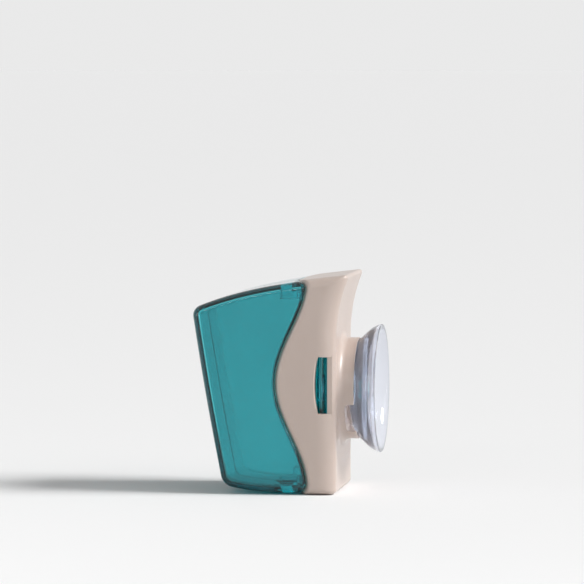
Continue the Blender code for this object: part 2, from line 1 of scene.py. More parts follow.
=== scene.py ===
"""Looks of a wall-mounted toothbrush cover: a moulded body, two clear doors and a suction cup.

Lengths are in metres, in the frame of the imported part: the origin is the centre of the cup's rim on the
wall, +Y points into the wall and +Z up. Everything mirrors about X = 0.
"""

import json
import logging
import math
from collections.abc import Callable, Sequence
from dataclasses import dataclass
from enum import Enum

import bmesh
import bpy
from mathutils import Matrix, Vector

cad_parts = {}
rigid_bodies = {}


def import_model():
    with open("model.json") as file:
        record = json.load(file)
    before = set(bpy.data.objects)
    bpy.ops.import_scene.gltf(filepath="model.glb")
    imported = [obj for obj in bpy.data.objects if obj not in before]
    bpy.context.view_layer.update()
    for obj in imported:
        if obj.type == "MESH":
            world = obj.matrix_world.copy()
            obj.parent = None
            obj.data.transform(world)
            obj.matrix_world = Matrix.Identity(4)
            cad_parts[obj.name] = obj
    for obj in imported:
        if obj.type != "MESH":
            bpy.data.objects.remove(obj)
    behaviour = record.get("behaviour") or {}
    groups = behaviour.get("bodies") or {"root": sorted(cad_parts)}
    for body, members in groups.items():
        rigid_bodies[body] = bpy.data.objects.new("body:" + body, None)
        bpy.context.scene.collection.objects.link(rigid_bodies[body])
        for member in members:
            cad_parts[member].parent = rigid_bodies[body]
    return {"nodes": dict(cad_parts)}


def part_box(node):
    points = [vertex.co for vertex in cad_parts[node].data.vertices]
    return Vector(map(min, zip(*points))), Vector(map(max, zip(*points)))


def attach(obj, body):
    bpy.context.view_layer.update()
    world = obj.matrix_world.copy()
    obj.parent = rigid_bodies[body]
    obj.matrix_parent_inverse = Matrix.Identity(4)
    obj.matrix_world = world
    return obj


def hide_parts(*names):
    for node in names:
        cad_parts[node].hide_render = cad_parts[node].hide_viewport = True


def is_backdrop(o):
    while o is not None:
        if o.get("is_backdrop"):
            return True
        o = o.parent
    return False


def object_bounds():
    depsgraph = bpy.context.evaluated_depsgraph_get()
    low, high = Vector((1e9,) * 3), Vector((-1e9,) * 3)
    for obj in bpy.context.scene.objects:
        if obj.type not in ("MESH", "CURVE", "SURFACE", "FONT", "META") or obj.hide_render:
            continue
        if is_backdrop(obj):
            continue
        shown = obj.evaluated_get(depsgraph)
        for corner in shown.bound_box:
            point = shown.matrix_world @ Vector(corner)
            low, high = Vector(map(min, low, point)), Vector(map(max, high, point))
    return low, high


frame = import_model()

LOG = logging.getLogger("cover")
MM = 0.001
MERGE = 0.0005 * MM
ON_AXIS = 0.0001 * MM
PLACES_PER_METRE = 1e8
SEARCH_STEPS = 40
NOISE_VALUES = (0.3, 0.7)
BEVEL_FROM_DEG = 40.0

Rows = list[list[Vector]]
Plan = list[tuple[float, float]]
Colour = tuple[float, float, float]
Socket = bpy.types.NodeSocket
Inputs = dict[str | int, float | Sequence[float] | Socket]
Curve = Callable[[float], float]


class Part(Enum):
    """Which side of the seam a shell keeps."""

    DOOR = -1
    BODY = 1


class Cut(Enum):
    """Ways in which two solids are combined."""

    JOIN = "UNION"
    REMOVE = "DIFFERENCE"


# Mesh helpers


def linked(name: str, data: bpy.types.ID) -> bpy.types.Object:
    """Put data into the scene as a new object.

    Args:
        name: Name of the new object.
        data: Its mesh, light or camera.

    Returns:
        The new object.
    """
    item = bpy.data.objects.new(name, data)
    bpy.context.scene.collection.objects.link(item)
    return item


def finish_mesh(mesh: bmesh.types.BMesh, name: str) -> bpy.types.Object:
    """Link a bmesh to the scene as an object whose faces point out.

    Args:
        mesh: The faces, which are freed here.
        name: Name of the new object.

    Returns:
        The new object.
    """
    bmesh.ops.recalc_face_normals(mesh, faces=mesh.faces)
    if mesh.calc_volume(signed=True) < 0.0:
        bmesh.ops.reverse_faces(mesh, faces=mesh.faces)
    data = bpy.data.meshes.new(name)
    mesh.to_mesh(data)
    mesh.free()
    return linked(name, data)


def apply_modifiers(item: bpy.types.Object) -> bpy.types.Object:
    """Replace an object's mesh by what its modifiers make of it.

    Args:
        item: The object to settle.

    Returns:
        The same object, with no modifiers.
    """
    bpy.context.view_layer.update()
    evaluated = item.evaluated_get(bpy.context.evaluated_depsgraph_get())
    old, item.data = item.data, bpy.data.meshes.new_from_object(evaluated)
    item.modifiers.clear()
    bpy.data.meshes.remove(old)
    return item


def combine(target: bpy.types.Object, tool: bpy.types.Object, cut: Cut) -> bpy.types.Object:
    """Join a solid to another, or cut it away, and remove the tool.

    Args:
        target: The solid that is kept.
        tool: The solid that is joined or cut away.
        cut: Which of the two is done.

    Returns:
        The target.
    """
    step = target.modifiers.new(cut.name.lower(), "BOOLEAN")
    step.operation = cut.value
    step.solver = "EXACT"
    step.object = tool
    apply_modifiers(target)
    bpy.data.objects.remove(tool)
    mesh = bmesh.new()
    mesh.from_mesh(target.data)
    bmesh.ops.remove_doubles(mesh, verts=mesh.verts, dist=MERGE)
    bmesh.ops.dissolve_degenerate(mesh, edges=mesh.edges, dist=MERGE)
    mesh.to_mesh(target.data)
    mesh.free()
    return target


def bevelled(item: bpy.types.Object, width: float, segments: int = 3) -> bpy.types.Object:
    """Round the sharp edges of a simple solid.

    Args:
        item: A solid with few faces.
        width: Reach of the rounding.
        segments: Faces across the rounding.

    Returns:
        The same object with the rounding applied.
    """
    step = item.modifiers.new("edge_round", "BEVEL")
    step.width = width
    step.segments = segments
    step.limit_method = "ANGLE"
    step.angle_limit = math.radians(BEVEL_FROM_DEG)
    return apply_modifiers(item)


def dress(item: bpy.types.Object, material: bpy.types.Material, sharp_deg: float = 38.0) -> None:
    """Shade a finished piece smooth, with flat faces kept flat to the eye, and give it its material.

    Args:
        item: The piece.
        material: What it is made of.
        sharp_deg: Edges that turn more than this stay sharp.
    """
    item.data.shade_smooth()
    item.data.set_sharp_from_angle(angle=math.radians(sharp_deg))
    step = item.modifiers.new("flat_faces", "WEIGHTED_NORMAL")
    step.keep_sharp = True
    item.data.materials.clear()
    item.data.materials.append(material)


def mirrored(item: bpy.types.Object, name: str) -> bpy.types.Object:
    """Copy an object to the other side of X = 0.

    Args:
        item: The object to copy.
        name: Name of the copy.

    Returns:
        The copy.
    """
    mesh = bmesh.new()
    mesh.from_mesh(item.data)
    for vertex in mesh.verts:
        vertex.co.x = -vertex.co.x
    return finish_mesh(mesh, name)


def bridge(mesh: bmesh.types.BMesh, rings: list[list[bmesh.types.BMVert]]) -> None:
    """Join closed rings by faces, each ring to the next.

    Args:
        mesh: The mesh to add to.
        rings: The rings, all of the same length, or of one point where they close.
    """
    count = max(map(len, rings))
    for near, far in zip(rings, rings[1:]):
        for i in range(count):
            j = (i + 1) % count
            corners = [near[i % len(near)], near[j % len(near)], far[j % len(far)], far[i % len(far)]]
            mesh.faces.new(list(dict.fromkeys(corners)))


def stacked(name: str, layers: Rows) -> bpy.types.Object:
    """Join closed outlines of equal length into a solid with flat ends.

    Args:
        name: Name of the new object.
        layers: The outlines, in order from one end to the other.

    Returns:
        The solid.
    """
    mesh = bmesh.new()
    rings = [[mesh.verts.new(point) for point in layer] for layer in layers]
    bridge(mesh, rings)
    mesh.faces.new(rings[0])
    mesh.faces.new(rings[-1])
    return finish_mesh(mesh, name)


def prism(name: str, plan: Plan, low: float, high: float) -> bpy.types.Object:
    """Upright solid of a plan outline in X and Y, between two heights."""
    return stacked(name, [[Vector((x, y, z)) for x, y in plan] for z in (low, high)])


def quarter(steps: int) -> list[float]:
    """Angles over a quarter turn in even steps, both ends included."""
    return [math.pi / 2 * i / steps for i in range(steps + 1)]


def circle(x: float, y: float, radius: float, steps: int = 48) -> Plan:
    """Plan outline of a circle."""
    turns = [2 * math.pi * i / steps for i in range(steps)]
    return [(x + radius * math.cos(turn), y + radius * math.sin(turn)) for turn in turns]


def upright_turned(name: str, x: float, y: float, profile: Plan, steps: int = 48) -> bpy.types.Object:
    """Solid turned about an upright axis, from (radius, height) points.

    Args:
        name: Name of the new object.
        x: Place of the axis across the width.
        y: Place of the axis in depth.
        profile: Radii and heights, in order from one end to the other.
        steps: Faces around the axis.

    Returns:
        The solid.
    """
    layers = [[Vector((px, py, z)) for px, py in circle(x, y, radius, steps)] for radius, z in profile]
    return stacked(name, layers)


def turned(name: str, profile: Plan, steps: int = 128) -> bpy.types.Object:
    """Solid turned about the Y axis from (radius, y) points.

    Args:
        name: Name of the new object.
        profile: Radii and depths in order; an end on the axis closes to a point.
        steps: Faces around the axis.

    Returns:
        The solid, closed from its last point to its first where neither lies on the axis.
    """
    mesh = bmesh.new()
    rings = []
    for radius, y in profile:
        around = circle(0.0, 0.0, radius, steps if radius > ON_AXIS else 1)
        rings.append([mesh.verts.new((x, y, z)) for x, z in around])
    bridge(mesh, rings + rings[:1] if len(rings[0]) > 1 else rings)
    return finish_mesh(mesh, name)


def resampled(points: list[Vector], count: int) -> list[Vector]:
    """Spread points evenly along a line of points.

    Args:
        points: The line, from start to end.
        count: How many points are wanted, both ends included.

    Returns:
        The evenly spaced points.
    """
    lengths = [0.0]
    for near, far in zip(points, points[1:]):
        lengths.append(lengths[-1] + (far - near).length)
    spread = []
    at = 0
    for i in range(count):
        target = lengths[-1] * i / (count - 1)
        while at < len(points) - 2 and lengths[at + 1] < target:
            at += 1
        span = lengths[at + 1] - lengths[at]
        share = (target - lengths[at]) / span if span > 0 else 0.0
        spread.append(points[at].lerp(points[at + 1], min(max(share, 0.0), 1.0)))
    return spread


def soft_curve(points: Plan, steps: int) -> Plan:
    """Smooth curve through 2-D points, with even steps between each two.

    Args:
        points: What the curve runs through.
        steps: Steps from one point to the next.

    Returns:
        The points of the curve.
    """
    curve = []
    for i in range(len(points) - 1):
        before = Vector(points[max(i - 1, 0)])
        start, end = Vector(points[i]), Vector(points[i + 1])
        after = Vector(points[min(i + 2, len(points) - 1)])
        for k in range(steps):
            t = k / steps
            pull = start * 2 + (end - before) * t
            pull += (before * 2 - start * 5 + end * 4 - after) * t * t
            pull += (start * 3 - before - end * 3 + after) * t ** 3
            curve.append(tuple(pull / 2))
    curve.append(points[-1])
    return curve


def smooth_step(value: float) -> float:
    """Ease from 0 to 1."""
    value = min(max(value, 0.0), 1.0)
    return value * value * (3.0 - 2.0 * value)


# Form of the whole cover


@dataclass(frozen=True)
class Outline:
    """A closed side view whose four corners and four runs keep their own points.

    The order is: front bottom corner, front, front top corner, top, lip, rear, foot, bottom.
    """

    points: list[Vector]
    normals: list[Vector]
    spans: list[tuple[int, int]]

    def indices(self, part: int) -> list[int]:
        """Point numbers of one of the eight parts."""
        start, end = self.spans[part]
        return list(range(start, end))


@dataclass(frozen=True)
class CoverForm:
    """Outer form of the cover: its side view, its rounding and the seam between body and doors."""

    half_width: float
    bottom: float
    rear: float = -9.1 * MM
    top_front: tuple[float, float] = (-43.3 * MM, 19.3 * MM)
    top_rear: tuple[float, float] = (-6.0 * MM, 27.4 * MM)
    top_slopes: tuple[float, float] = (0.44, 0.12)
    front_bottom: tuple[float, float] = (-36.0 * MM, -22.2 * MM)
    front_crown: float = 0.3 * MM
    bottom_lift: float = 1.7 * MM
    bottom_lift_start: float = -22.0 * MM
    lip_flare: float = 3.1 * MM
    lip_start: float = 12.5 * MM
    corner_radii: tuple[float, ...] = (3.4 * MM, 2.5 * MM, 0.7 * MM, 1.2 * MM)
    least_inner_corner: float = 0.5 * MM
    corner_look: float = 1.0 * MM
    edge_round: float = 2.2 * MM
    seam_end: float = -15.3 * MM
    seam_wave: float = 7.4 * MM
    seam_wave_z: float = 2.1 * MM
    seam_wave_half: float = 24.6 * MM
    seam_bow: float = 3.6 * MM
    seam_bow_power: float = 4.3
    seam_gap: float = 0.4 * MM
    facet_depth: float = 0.01 * MM
    arc_steps: int = 10
    run_steps: int = 90

    def top_z(self, y: float) -> float:
        """Height of the top.

        Args:
            y: Depth.

        Returns:
            The height there.
        """
        span = self.top_rear[0] - self.top_front[0]
        rise = self.top_rear[1] - self.top_front[1]
        u = (y - self.top_front[0]) / span
        start, end = self.top_slopes[0] * span, self.top_slopes[1] * span
        curve = u * u * (3 * rise - 2 * start - end) + u ** 3 * (start + end - 2 * rise)
        return self.top_front[1] + u * start + curve

    def bottom_z(self, y: float) -> float:
        """Height of the underside at a depth."""
        u = max(0.0, (self.bottom_lift_start - y) / (self.bottom_lift_start - self.front_bottom[0]))
        return self.bottom + self.bottom_lift * u * u

    def front_y(self, z: float) -> float:
        """Depth of the front.

        Args:
            z: Height.

        Returns:
            The depth there.
        """
        v = (z - self.front_bottom[1]) / (self.top_front[1] - self.front_bottom[1])
        lean = self.front_bottom[0] + (self.top_front[0] - self.front_bottom[0]) * v
        return lean - self.front_crown * math.sin(math.pi * min(max(v, 0.0), 1.0))

    def rear_y(self, z: float, flare: float) -> float:
        """Depth of the rear at a height, with its lip swept back by a flare."""
        u = max(0.0, (z - self.lip_start) / (self.top_rear[1] - self.lip_start))
        return self.rear + flare * u * u

    def seam_y(self, x: float, z: float) -> float:
        """Depth of the seam.

        Args:
            x: Place across the width.
            z: Height.

        Returns:
            The depth there.
        """
        turn = min(abs(z - self.seam_wave_z) / self.seam_wave_half, 1.0)
        wave = (1.0 + math.cos(math.pi * turn)) / 2.0
        bow = 1.0 - min(abs(x) / self.half_width, 1.0) ** self.seam_bow_power
        return self.seam_end - self.seam_wave * wave - self.seam_bow * bow

    def inner_radii(self, wall: float) -> list[float]:
        """Corner radii on the inside of a wall."""
        return [max(radius - wall, self.least_inner_corner) for radius in self.corner_radii]

    def corner(self, edge_y: Curve, edge_z: Curve, guess: tuple[float, float]) -> Vector:
        """Find where a surface y(z) meets a surface z(y).

        Args:
            edge_y: Depth as a function of height.
            edge_z: Height as a function of depth.
            guess: A point near the corner.

        Returns:
            The corner.
        """
        y, z = guess
        for _ in range(SEARCH_STEPS):
            y = edge_y(z)
            z = edge_z(y)
        return Vector((y, z))

    def fillet(self, before: Vector, corner: Vector, after: Vector, radius: float) -> list[Vector]:
        """Round a corner by an arc.

        Args:
            before: A point on the curve that runs into the corner.
            corner: The corner.
            after: A point on the curve that leaves it.
            radius: Radius of the arc.

        Returns:
            The points of the arc.
        """
        into, out = (before - corner).normalized(), (after - corner).normalized()
        half = math.acos(max(-1.0, min(1.0, into.dot(out)))) / 2.0
        reach = radius / math.tan(half)
        centre = corner + (into + out).normalized() * radius / math.sin(half)
        first, last = corner + into * reach - centre, corner + out * reach - centre
        start = math.atan2(first.y, first.x)
        sweep = math.atan2(last.y, last.x) - start
        sweep = (sweep + math.pi) % (2 * math.pi) - math.pi
        turns = [start + sweep * i / self.arc_steps for i in range(self.arc_steps + 1)]
        return [centre + Vector((math.cos(turn), math.sin(turn))) * radius for turn in turns]

    def outline(self, inset: float, flare: float, radii: Sequence[float], rear_inset: float = 0.0) -> Outline:
        """Draw the side view, inset all round, with its corners rounded.

        Args:
            inset: How far inside the outer form it lies.
            flare: How far the lip sweeps back.
            radii: Corner radii: front bottom, front top, lip and foot.
            rear_inset: How much further inside the rear lies.

        Returns:
            The outline.
        """
        def front(z: float) -> float:
            """Depth of the inset front at a height."""
            return self.front_y(z) + inset

        def rear(z: float) -> float:
            """Depth of the inset rear at a height."""
            return self.rear_y(z, flare) - inset - rear_inset

        def top(y: float) -> float:
            """Height of the inset top at a depth."""
            return self.top_z(y) - inset

        def bottom(y: float) -> float:
            """Height of the inset underside at a depth."""
            return self.bottom_z(y) + inset

        corners = [
            self.corner(front, bottom, self.front_bottom),
            self.corner(front, top, self.top_front),
            self.corner(rear, top, self.top_rear),
            self.corner(rear, bottom, (self.rear, self.bottom)),
        ]
        curves = [(1, front), (0, top), (1, rear), (0, bottom)]

        def on_curve(run: int, t: float) -> Vector:
            """Point of a run at a depth or a height."""
            axis, curve = curves[run]
            return Vector((curve(t), t)) if axis else Vector((t, curve(t)))

        arcs = []
        for i, corner in enumerate(corners):
            near = self.corner_look + radii[i] / 2
            sides = []
            for run, other in ((i - 1, corners[i - 1]), (i, corners[(i + 1) % 4])):
                axis = curves[run % 4][0]
                step = math.copysign(near, other[axis] - corner[axis])
                sides.append(on_curve(run % 4, corner[axis] + step))
            arcs.append(self.fillet(sides[0], corner, sides[1], radii[i]))
        points = []
        spans = []
        for i, arc in enumerate(arcs):
            spans.append((len(points), len(points) + len(arc)))
            points += arc
            axis = curves[i][0]
            start, end = arc[-1][axis], arcs[(i + 1) % 4][0][axis]
            shares = [k / self.run_steps for k in range(1, self.run_steps)]
            run = [on_curve(i, start + (end - start) * share) for share in shares]
            spans.append((len(points), len(points) + len(run)))
            points += run
        normals = []
        for i in range(len(points)):
            along = (points[(i + 1) % len(points)] - points[i - 1]).normalized()
            normals.append(Vector((-along.y, along.x)))
        return Outline(points, normals, spans)


@dataclass(frozen=True)
class Skin:
    """One face of a shell, inner or outer, drawn across the width from the outline of the side view."""

    form: CoverForm
    outline: Outline
    half_width: float
    part: Part
    radius: float
    rim_round: float
    meeting: float = 0.0
    meeting_round: float = 0.0
    flat_rows: tuple[float, ...] = (0.0, 0.2, 0.38, 0.54, 0.68, 0.8, 0.9, 1.0)
    edge_rows: int = 8
    first_points: int = 18
    middle_points: int = 26
    last_points: int = 18

    @property
    def seam_offset(self) -> float:
        """How far from the seam's middle this skin ends, with room left for the rounded rim."""
        return self.part.value * (self.form.seam_gap / 2 + self.rim_round)

    def beyond_seam(self, point: Vector) -> float:
        """How far a point lies past the end of this skin."""
        edge = self.form.seam_y(point.x, point.z) + self.seam_offset
        return (edge - point.y) * self.part.value

    def trimmed(self, points: list[Vector]) -> list[Vector]:
        """Cut a line off where it reaches the end of this skin.

        Args:
            points: The line; its first points lie past the end.

        Returns:
            The line from the crossing on.
        """
        inside = len(points) - 1
        while inside > 0 and self.beyond_seam(points[inside - 1]) < 0:
            inside -= 1
        near, far = points[inside], points[inside - 1]
        low, high = 0.0, 1.0
        for _ in range(SEARCH_STEPS):
            middle = (low + high) / 2
            if self.beyond_seam(near.lerp(far, middle)) < 0:
                low = middle
            else:
                high = middle
        return [near.lerp(far, low)] + points[inside:]

    def placed(self, share: float, turn: float) -> list[Vector]:
        """Place the whole outline across the width.

        Args:
            share: Place on the flat part, from the middle (0) to the start of the rounding (1).
            turn: Angle round the edge, from 0 to a quarter turn.

        Returns:
            The points, in the outline's order.
        """
        start = self.meeting + self.meeting_round
        x = start + (self.half_width - self.radius - start) * share + self.radius * math.sin(turn)
        depth = self.radius * (1.0 - math.cos(turn))
        inward = [point - normal * depth for point, normal in zip(self.outline.points, self.outline.normals)]
        return [Vector((x, point.x, point.y)) for point in inward]

    def row(self, share: float, turn: float) -> list[Vector]:
        """Draw the kept stretch of the outline at one place across the width.

        Args:
            share: Place on the flat part, from the middle (0) to the start of the rounding (1).
            turn: Angle round the edge, from 0 to a quarter turn.

        Returns:
            Points from the seam on top to the seam below.
        """
        placed = self.placed(share, turn)
        part = [[placed[i] for i in self.outline.indices(k)] for k in range(8)]
        if self.part is Part.DOOR:
            first = part[3][::-1] + [part[2][-1]]
            corners = [part[2][::-1], part[0][::-1]]
            middle = [part[2][0]] + part[1][::-1] + [part[0][-1]]
            last = [part[0][0]] + part[7][::-1]
        else:
            first = part[3] + [part[4][0]]
            corners = [part[4], part[6]]
            middle = [part[4][-1]] + part[5] + [part[6][0]]
            last = [part[6][-1]] + part[7]
        first = resampled(self.trimmed(first), self.first_points)
        last = resampled(self.trimmed(last[::-1])[::-1], self.last_points)
        middle = resampled(middle, self.middle_points)
        return first[:-1] + corners[0] + middle[1:-1] + corners[1] + last[1:]

    def half(self) -> Rows:
        """Draw every row of the +X half, from the middle out, with the seam along the flat side as the last.

        Returns:
            The rows, each with the same number of points. The last two share their ends.
        """
        rows = [self.row(share, 0.0) for share in self.flat_rows]
        rows += [self.row(1.0, turn) for turn in quarter(self.edge_rows)[1:]]
        edge = rows[-1]
        x, top, foot = edge[0].x, edge[0].z, edge[-1].z
        seam = [edge[0]]
        for u in range(1, len(edge) - 1):
            z = top + (foot - top) * u / (len(edge) - 1)
            seam.append(Vector((x, self.form.seam_y(x, z) + self.seam_offset, z)))
        rows.append(seam + [edge[-1]])
        return rows

    def rows(self) -> Rows:
        """Draw the whole skin.

        Returns:
            The rows: a door's from the meeting edge out, the body's from one side to the other.
        """
        rows = self.half()
        if self.part is Part.DOOR:
            return rows
        other = [[Vector((-p.x, p.y, p.z)) for p in row] for row in reversed(rows[1:])]
        return other + rows

    def rim(self, rows: Rows) -> list[tuple[Vector, Vector]]:
        """Walk round the end of this skin.

        Args:
            rows: The points of the skin.

        Returns:
            Each point of the end, with the push that takes it to the outside of the rounded rim.
        """
        last, end = len(rows) - 1, len(rows[0]) - 1
        across = Vector((0.0, -self.part.value * self.rim_round, 0.0))
        aside = Vector((-self.meeting_round, 0.0, 0.0))
        walk: list[tuple[Vector, Vector]] = []
        for row in rows:
            walk.append((row[0], (row[0] - row[1]).normalized() * self.rim_round))
        walk += [(rows[last][u], across) for u in range(1, end)]
        for row in reversed(rows):
            walk.append((row[end], (row[end] - row[end - 1]).normalized() * self.rim_round))
        away = aside if self.part is Part.DOOR else across
        walk += [(rows[0][u], away) for u in range(end - 1, 0, -1)]
        found: dict[tuple[int, int, int], tuple[Vector, Vector]] = {}
        for point, push in walk:
            old = found.get(key_of(point))
            if old is None or abs(push.y) > abs(old[1].y):
                found[key_of(point)] = (point, push)
        if self.part is Part.DOOR:
            for corner in (rows[0][0], rows[0][end]):
                point, push = found[key_of(corner)]
                found[key_of(corner)] = (point, push + aside)
        return list(found.values())


@dataclass(frozen=True)
class RearSkin(Skin):
    """Outer face of the body, whose rear edges are rounded further along its sides than across its rear."""

    rear_radius: float = 4.5 * MM
    least_corner: float = 0.3 * MM

    def placed(self, share: float, turn: float) -> list[Vector]:
        """Place the whole outline across the width, drawn anew at each step round the edge.

        Args:
            share: Place on the flat part, from the middle (0) to the start of the rounding (1).
            turn: Angle round the edge, from 0 to a quarter turn.

        Returns:
            The points, in the outline's order.
        """
        form, deep = self.form, 1.0 - math.cos(turn)
        x = (self.half_width - self.radius) * share + self.radius * math.sin(turn)
        depth = self.radius * deep
        radii = [max(radius - depth, self.least_corner) for radius in form.corner_radii]
        rear = (self.rear_radius - self.radius) * deep
        outline = form.outline(form.facet_depth + depth, form.lip_flare, radii, rear)
        return [Vector((x, point.x, point.y)) for point in outline.points]


def key_of(point: Vector) -> tuple[int, int, int]:
    """Name a place, so that points there count as one."""
    return tuple(round(value * PLACES_PER_METRE) for value in point)


def shell(name: str, outer: Skin, inner: Skin, steps: int = 5) -> bpy.types.Object:
    """Close two skins into a wall of even thickness whose rim is rounded.

    Args:
        name: Name of the new object.
        outer: The outer skin.
        inner: The inner skin.
        steps: Faces across each rounding.

    Returns:
        The shell.
    """
    mesh = bmesh.new()
    drawn = [outer.rows(), inner.rows()]
    rims = [outer.rim(drawn[0]), inner.rim(drawn[1])]
    strip: list[list[bmesh.types.BMVert]] = []
    for side, skin in enumerate((outer, inner)):
        own, other = rims[side], rims[1 - side]
        layers = []
        for turn in quarter(steps):
            layer = []
            for (point, push), (facing, pull) in zip(own, other):
                depth = min(push.length, skin.rim_round) * (1.0 - math.cos(turn))
                through = ((facing + pull) - (point + push)).normalized() * depth
                layer.append(mesh.verts.new(point + push * math.sin(turn) + through))
            layers.append(layer)
        known = {key_of(point): vertex for (point, _), vertex in zip(own, layers[0])}
        grid = []
        for row in drawn[side]:
            line = []
            for point in row:
                key = key_of(point)
                if key not in known:
                    known[key] = mesh.verts.new(point)
                line.append(known[key])
            grid.append(line)
        for near, far in zip(grid, grid[1:]):
            if near[0] is far[0]:
                mesh.faces.new(near + far[-2:0:-1])
                continue
            for i in range(len(near) - 1):
                mesh.faces.new((near[i], near[i + 1], far[i + 1], far[i]))
        strip += layers if side == 0 else layers[::-1]
    bridge(mesh, strip)
    return finish_mesh(mesh, name)


# Finishes


def new_material(name: str) -> tuple[bpy.types.Material, bpy.types.NodeTree, bpy.types.Node]:
    """Start a material.

    Args:
        name: Name of the material.

    Returns:
        The material, its node tree and its Principled shader.
    """
    material = bpy.data.materials.new(name)
    material.use_nodes = True
    return material, material.node_tree, material.node_tree.nodes["Principled BSDF"]


def set_inputs(tree: bpy.types.NodeTree, node: bpy.types.Node, inputs: Inputs) -> None:
    """Give each named input of a node its value, or link it to a socket.

    Args:
        tree: The node tree to link in.
        node: The node.
        inputs: Values and sockets, by the name or number of the input.
    """
    for name, value in inputs.items():
        if isinstance(value, Socket):
            tree.links.new(value, node.inputs[name])
        else:
            node.inputs[name].default_value = value


def add_node(tree: bpy.types.NodeTree, kind: str, inputs: Inputs, **options: str) -> bpy.types.Node:
    """Add a shader node.

    Args:
        tree: The node tree to add to.
        kind: Kind of node, without the word that all shader nodes start with.
        inputs: Values and sockets, by the name or number of the input.
        **options: Settings of the node, made before its inputs.

    Returns:
        The node.
    """
    node = tree.nodes.new("ShaderNode" + kind)
    for name, value in options.items():
        setattr(node, name, value)
    set_inputs(tree, node, inputs)
    return node


@dataclass(frozen=True)
class Grain:
    """Noise fixed to the part: the size of its features, its octaves and its stretch upright."""

    size: float
    detail: float
    upright: float = 1.0


def noise(tree: bpy.types.NodeTree, grain: Grain) -> Socket:
    """Add noise that is fixed to the part.

    Args:
        tree: The node tree to add to.
        grain: Sizes of the noise.

    Returns:
        Its values, around a half.
    """
    place = add_node(tree, "TexCoord", {}).outputs["Object"]
    scale = (1.0 / grain.size, 1.0 / grain.size, 1.0 / (grain.size * grain.upright))
    place = add_node(tree, "Mapping", {"Vector": place, "Scale": scale}).outputs["Vector"]
    return add_node(tree, "TexNoise", {"Vector": place, "Scale": 1.0, "Detail": grain.detail}).outputs["Fac"]


def spread(tree: bpy.types.NodeTree, source: Socket, ends: tuple[float, float]) -> Socket:
    """Map noise values to a range.

    Args:
        tree: The node tree to add to.
        source: The noise values.
        ends: Low and high end of the range.

    Returns:
        The mapped values.
    """
    inputs = {"Value": source, "To Min": ends[0], "To Max": ends[1]}
    inputs |= {"From Min": NOISE_VALUES[0], "From Max": NOISE_VALUES[1]}
    return add_node(tree, "MapRange", inputs).outputs["Result"]


def mottled(tree: bpy.types.NodeTree, grain: Grain, shade: Colour, colour: Colour) -> Socket:
    """Mix two near colours by noise.

    Args:
        tree: The node tree to add to.
        grain: Sizes of the noise.
        shade: The colour where the noise is low.
        colour: The colour where it is high.

    Returns:
        The mixed colour.
    """
    share = spread(tree, noise(tree, grain), (0.0, 1.0))
    inputs = {"Factor": share, "A": (*shade, 1.0), "B": (*colour, 1.0)}
    return add_node(tree, "Mix", inputs, data_type="RGBA").outputs["Result"]


def bump(tree: bpy.types.NodeTree, source: Socket, height: float) -> Socket:
    """Raise the surface by noise, up to a real height, and return the new normal."""
    return add_node(tree, "Bump", {"Height": source, "Strength": 1.0, "Distance": height}).outputs["Normal"]


@dataclass(frozen=True)
class MouldedPlastic:
    """Opaque moulded plastic with a fine satin grain and faint cloudiness."""

    name: str
    colour: Colour
    shade: Colour
    roughness: tuple[float, float] = (0.26, 0.34)
    grain: Grain = Grain(0.12 * MM, 2.0)
    grain_height: float = 0.0015 * MM
    cloud: Grain = Grain(9.0 * MM, 3.0, 1.6)
    ior: float = 1.5
    glow: float = 0.12
    glow_radius: Colour = (1.0, 0.7, 0.5)
    glow_scale: float = 0.8 * MM

    def build(self) -> bpy.types.Material:
        """Make the material.

        Returns:
            The new material.
        """
        material, tree, shader = new_material(self.name)
        fine = noise(tree, self.grain)
        inputs = {
            "Base Color": mottled(tree, self.cloud, self.shade, self.colour),
            "Roughness": spread(tree, fine, self.roughness),
            "Normal": bump(tree, fine, self.grain_height),
            "IOR": self.ior,
            "Subsurface Weight": self.glow,
            "Subsurface Radius": self.glow_radius,
            "Subsurface Scale": self.glow_scale,
        }
        set_inputs(tree, shader, inputs)
        return material


@dataclass(frozen=True)
class ClearPlastic:
    """Clear or tinted plastic with a faint ripple from the mould."""

    name: str
    colour: Colour
    shade: Colour
    roughness: tuple[float, float]
    depth_colour: Colour
    depth_density: float
    clearness: float = 1.0
    ior: float = 1.49
    flow: Grain = Grain(12.0 * MM, 2.0, 2.5)
    ripple: Grain = Grain(6.0 * MM, 1.0)
    ripple_height: float = 0.004 * MM
    haze: Grain = Grain(0.5 * MM, 3.0)

    def build(self) -> bpy.types.Material:
        """Make the material.

        Returns:
            The new material.
        """
        material, tree, shader = new_material(self.name)
        inputs = {
            "Base Color": mottled(tree, self.flow, self.shade, self.colour),
            "Roughness": spread(tree, noise(tree, self.haze), self.roughness),
            "Normal": bump(tree, noise(tree, self.ripple), self.ripple_height),
            "IOR": self.ior,
            "Transmission Weight": self.clearness,
        }
        set_inputs(tree, shader, inputs)
        absorbed = {"Color": (*self.depth_colour, 1.0), "Density": self.depth_density}
        depth = add_node(tree, "VolumeAbsorption", absorbed).outputs["Volume"]
        set_inputs(tree, tree.nodes["Material Output"], {"Volume": depth})
        return material


@dataclass(frozen=True)
class DrawnSteel:
    """Bright steel wire with fine lines along its length."""

    name: str
    colour: Colour = (0.62, 0.62, 0.60)
    roughness: tuple[float, float] = (0.18, 0.32)
    line: Grain = Grain(0.05 * MM, 2.0, 40.0)
    line_height: float = 0.001 * MM

    def build(self) -> bpy.types.Material:
        """Make the material.

        Returns:
            The new material.
        """
        material, tree, shader = new_material(self.name)
        lines = noise(tree, self.line)
        inputs = {
            "Base Color": (*self.colour, 1.0),
            "Metallic": 1.0,
            "Roughness": spread(tree, lines, self.roughness),
            "Normal": bump(tree, lines, self.line_height),
        }
        set_inputs(tree, shader, inputs)
        return material


